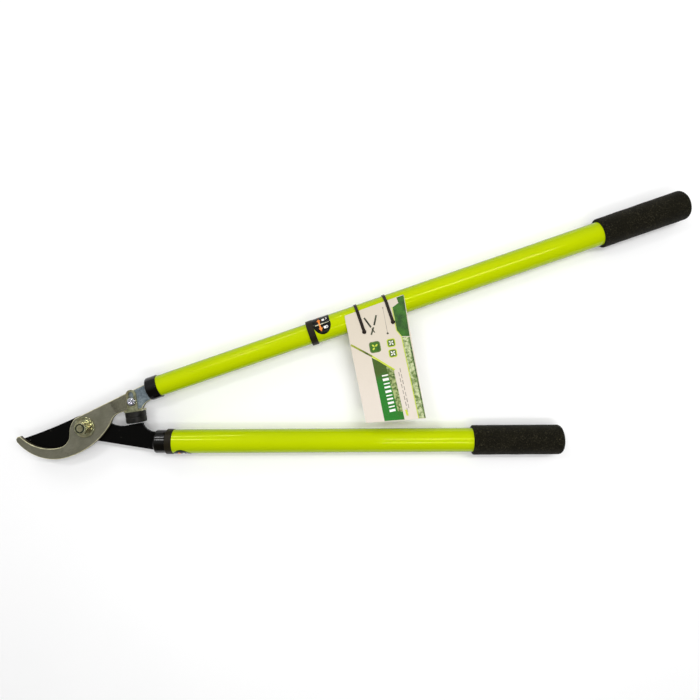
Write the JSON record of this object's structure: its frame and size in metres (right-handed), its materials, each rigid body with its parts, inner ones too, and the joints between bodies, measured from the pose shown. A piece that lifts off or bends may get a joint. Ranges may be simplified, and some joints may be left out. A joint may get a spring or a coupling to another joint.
{
  "type": "bypass loppers",
  "caption": "Bypass loppers: curved hook and cutting blade on a bolted pivot, telescoping twist-lock tube handles with foam grips, rubber bumper and a blank hang tag.",
  "frame": {"origin": "centre of the outer face of the pivot bolt's head, on the pivot axis", "axes": "+Z along the pivot from the bolt's head to its nut, +X along the lower handle towards its grip, +Y towards the upper handle"},
  "size_m": [0.7939, 0.3128, 0.0395],
  "materials": {
    "hook_steel": "ground and speckled",
    "blade_coating": "matt black non-stick coating",
    "zinc": "yellow zinc plate",
    "bright_screw": "bright zinc plate",
    "nylon": "satin",
    "tube_paint": "gloss lime green powder coat",
    "collar_plastic": "gloss black",
    "ring_plastic": "satin black",
    "label_film": "gloss film",
    "foam": "fine closed-cell foam",
    "bumper_rubber": "satin",
    "plug_plastic": "satin grey",
    "steel_pin": "bright",
    "card_print": "printed, satin",
    "tie_plastic": "satin black"
  },
  "bodies": {
    "hook_lever": {"hook_blade": "hook_steel", "pivot_bolt": "zinc", "pivot_washer": "zinc", "spring_washer": "zinc", "pivot_nut": "zinc", "nut_insert": "nylon", "bumper_bracket": "zinc", "bracket_screw": "bright_screw", "bracket_nut": "zinc", "bumper": "bumper_rubber", "bumper_screw": "zinc", "upper_inner_tube": "tube_paint", "upper_head_collar": "collar_plastic", "upper_tang_plug": "plug_plastic", "upper_tang_pin": "steel_pin", "upper_lock_plug": "plug_plastic", "upper_lock_screw": "steel_pin"},
    "blade_lever": {"cutting_blade": "blade_coating", "lower_inner_tube": "tube_paint", "lower_head_collar": "collar_plastic", "lower_tang_plug": "plug_plastic", "lower_tang_pin": "steel_pin", "lower_lock_plug": "plug_plastic", "lower_lock_screw": "steel_pin"},
    "upper_expander": {"upper_lock_expander": "plug_plastic"},
    "upper_handle": {"upper_outer_tube": "tube_paint", "upper_lock_collar": "ring_plastic", "upper_twist_label": "label_film", "upper_grip": "foam", "upper_end_plug": "plug_plastic", "hang_tag": "card_print", "cable_ties": "tie_plastic"},
    "lower_expander": {"lower_lock_expander": "plug_plastic"},
    "lower_handle": {"lower_outer_tube": "tube_paint", "lower_lock_collar": "ring_plastic", "lower_twist_label": "label_film", "lower_grip": "foam", "lower_end_plug": "plug_plastic"}
  },
  "joints": [
    {"name": "jaw_pivot", "type": "hinge", "parent": "hook_lever", "child": "blade_lever", "pos_m": [0, 0, 0.0093], "axis": [0, 0, -1], "range_deg": [-1, 60]},
    {"name": "upper_twist", "type": "hinge", "parent": "hook_lever", "child": "upper_expander", "pos_m": [0.35267, 0.13854, 0.01185], "axis": [-0.9466, -0.3223, 0], "range_deg": [0, 90]},
    {"name": "upper_telescope", "type": "slide", "parent": "upper_expander", "child": "upper_handle", "axis": [0.9466, 0.3223, 0], "range_m": [-0.1868, 0.0132]},
    {"name": "lower_twist", "type": "hinge", "parent": "blade_lever", "child": "lower_expander", "pos_m": [0.375, -0.0183, 0.0073], "axis": [-1, 0, 0], "range_deg": [0, 90]},
    {"name": "lower_telescope", "type": "slide", "parent": "lower_expander", "child": "lower_handle", "axis": [1, 0, 0], "range_m": [0, 0.2]}
  ]
}
